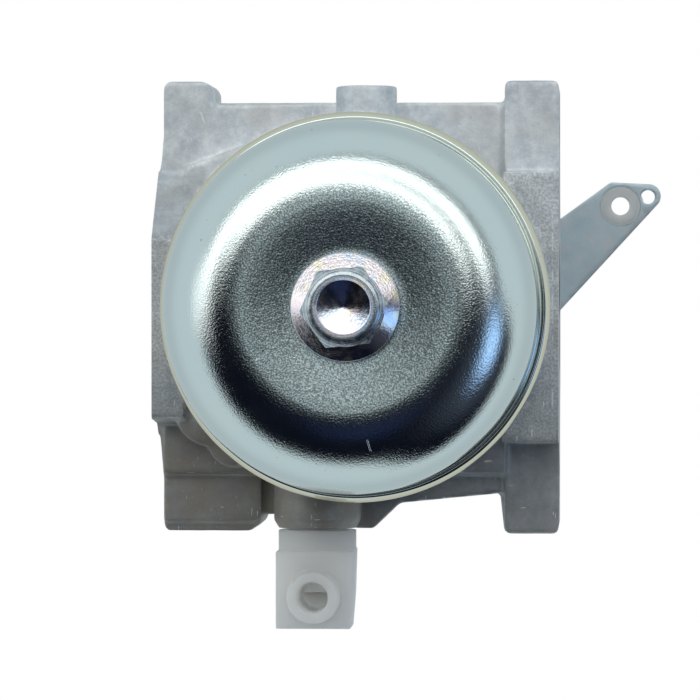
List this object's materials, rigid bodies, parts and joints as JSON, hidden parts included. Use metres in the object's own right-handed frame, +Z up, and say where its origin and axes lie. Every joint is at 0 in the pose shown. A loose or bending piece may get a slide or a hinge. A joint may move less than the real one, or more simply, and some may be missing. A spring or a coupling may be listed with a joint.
{
  "type": "carburetor",
  "caption": "Small-engine float-bowl carburetor with butterfly throttle and choke, nylon fuel elbow and a round steel float bowl held by one bolt.",
  "frame": {"origin": "centre of the throttle bore on the engine gasket face", "axes": "+X out of the engine face along the bore, +Y towards the fuel inlet, +Z up, away from the float bowl"},
  "size_m": [0.0697, 0.0752, 0.0703],
  "materials": {
    "cast_aluminium": "as-cast, fine grain, machined gasket faces",
    "zinc_steel": "bright zinc plate with a pale blue-green cast and a yellow lip",
    "lever_steel": "dull zinc plate",
    "bolt_steel": "bright zinc plate",
    "brass": "turned brass",
    "nylon": "natural nylon",
    "rubber": "moulded rubber",
    "gasket_paper": "fibre gasket",
    "float_plastic": "closed-cell float plastic",
    "spring_steel": "drawn wire and stamped sheet"
  },
  "bodies": {
    "body": {"body_casting": "cast_aluminium", "float_bowl": "zinc_steel", "bowl_gasket": "gasket_paper", "bowl_bolt": "bolt_steel", "bolt_washer": "gasket_paper", "main_jet": "brass", "main_nozzle": "brass", "pilot_jet": "brass", "needle_seat": "rubber", "float_hinge_pin": "spring_steel", "fuel_inlet_elbow": "nylon", "inlet_o_ring": "rubber", "passage_plug": "bolt_steel", "welch_plug": "brass", "throttle_shaft_seal": "rubber", "choke_shaft_seal": "rubber", "idle_screw_spring": "spring_steel", "mixture_screw_spring": "spring_steel"},
    "throttle": {"throttle_shaft": "bolt_steel", "throttle_plate": "brass", "throttle_plate_screw_1": "brass", "throttle_plate_screw_2": "brass", "throttle_lever": "lever_steel", "lever_bushing": "nylon"},
    "choke": {"choke_shaft": "bolt_steel", "choke_plate": "brass", "choke_plate_screw_1": "brass", "choke_plate_screw_2": "brass", "choke_lever": "lever_steel"},
    "float": {"float": "float_plastic", "float_arm": "spring_steel"},
    "needle": {"inlet_needle": "brass", "needle_clip": "spring_steel"},
    "idle_screw": {"idle_speed_screw": "brass"},
    "mixture_screw": {"mixture_screw": "brass"}
  },
  "joints": [
    {"name": "throttle_turn", "type": "hinge", "parent": "body", "child": "throttle", "pos_m": [-0.0088, 0, 0], "axis": [0, 0, -1], "range_deg": [0, 75]},
    {"name": "choke_turn", "type": "hinge", "parent": "body", "child": "choke", "pos_m": [-0.043, 0, 0], "axis": [0, 0, -1], "range_deg": [0, 85]},
    {"name": "float_swing", "type": "hinge", "parent": "body", "child": "float", "pos_m": [-0.0315, 0.018, -0.019], "axis": [-1, 0, 0], "range_deg": [0, 8]},
    {"name": "needle_slide", "type": "slide", "parent": "body", "child": "needle", "axis": [0, 0, 1], "range_m": [0, 0.00084]},
    {"name": "idle_screw_turn", "type": "hinge", "parent": "body", "child": "idle_screw", "pos_m": [-0.0165, -0.017, 0.017], "axis": [0, -1, 0], "range_deg": [-720, 720]},
    {"name": "mixture_screw_turn", "type": "hinge", "parent": "body", "child": "mixture_screw", "pos_m": [-0.0145, -0.023, 0.007], "axis": [0, -1, 0], "range_deg": [-540, 540]}
  ],
  "couplings": [
    {"joint": "needle_slide", "follows": "float_swing", "m_per_rad": 0.006}
  ]
}
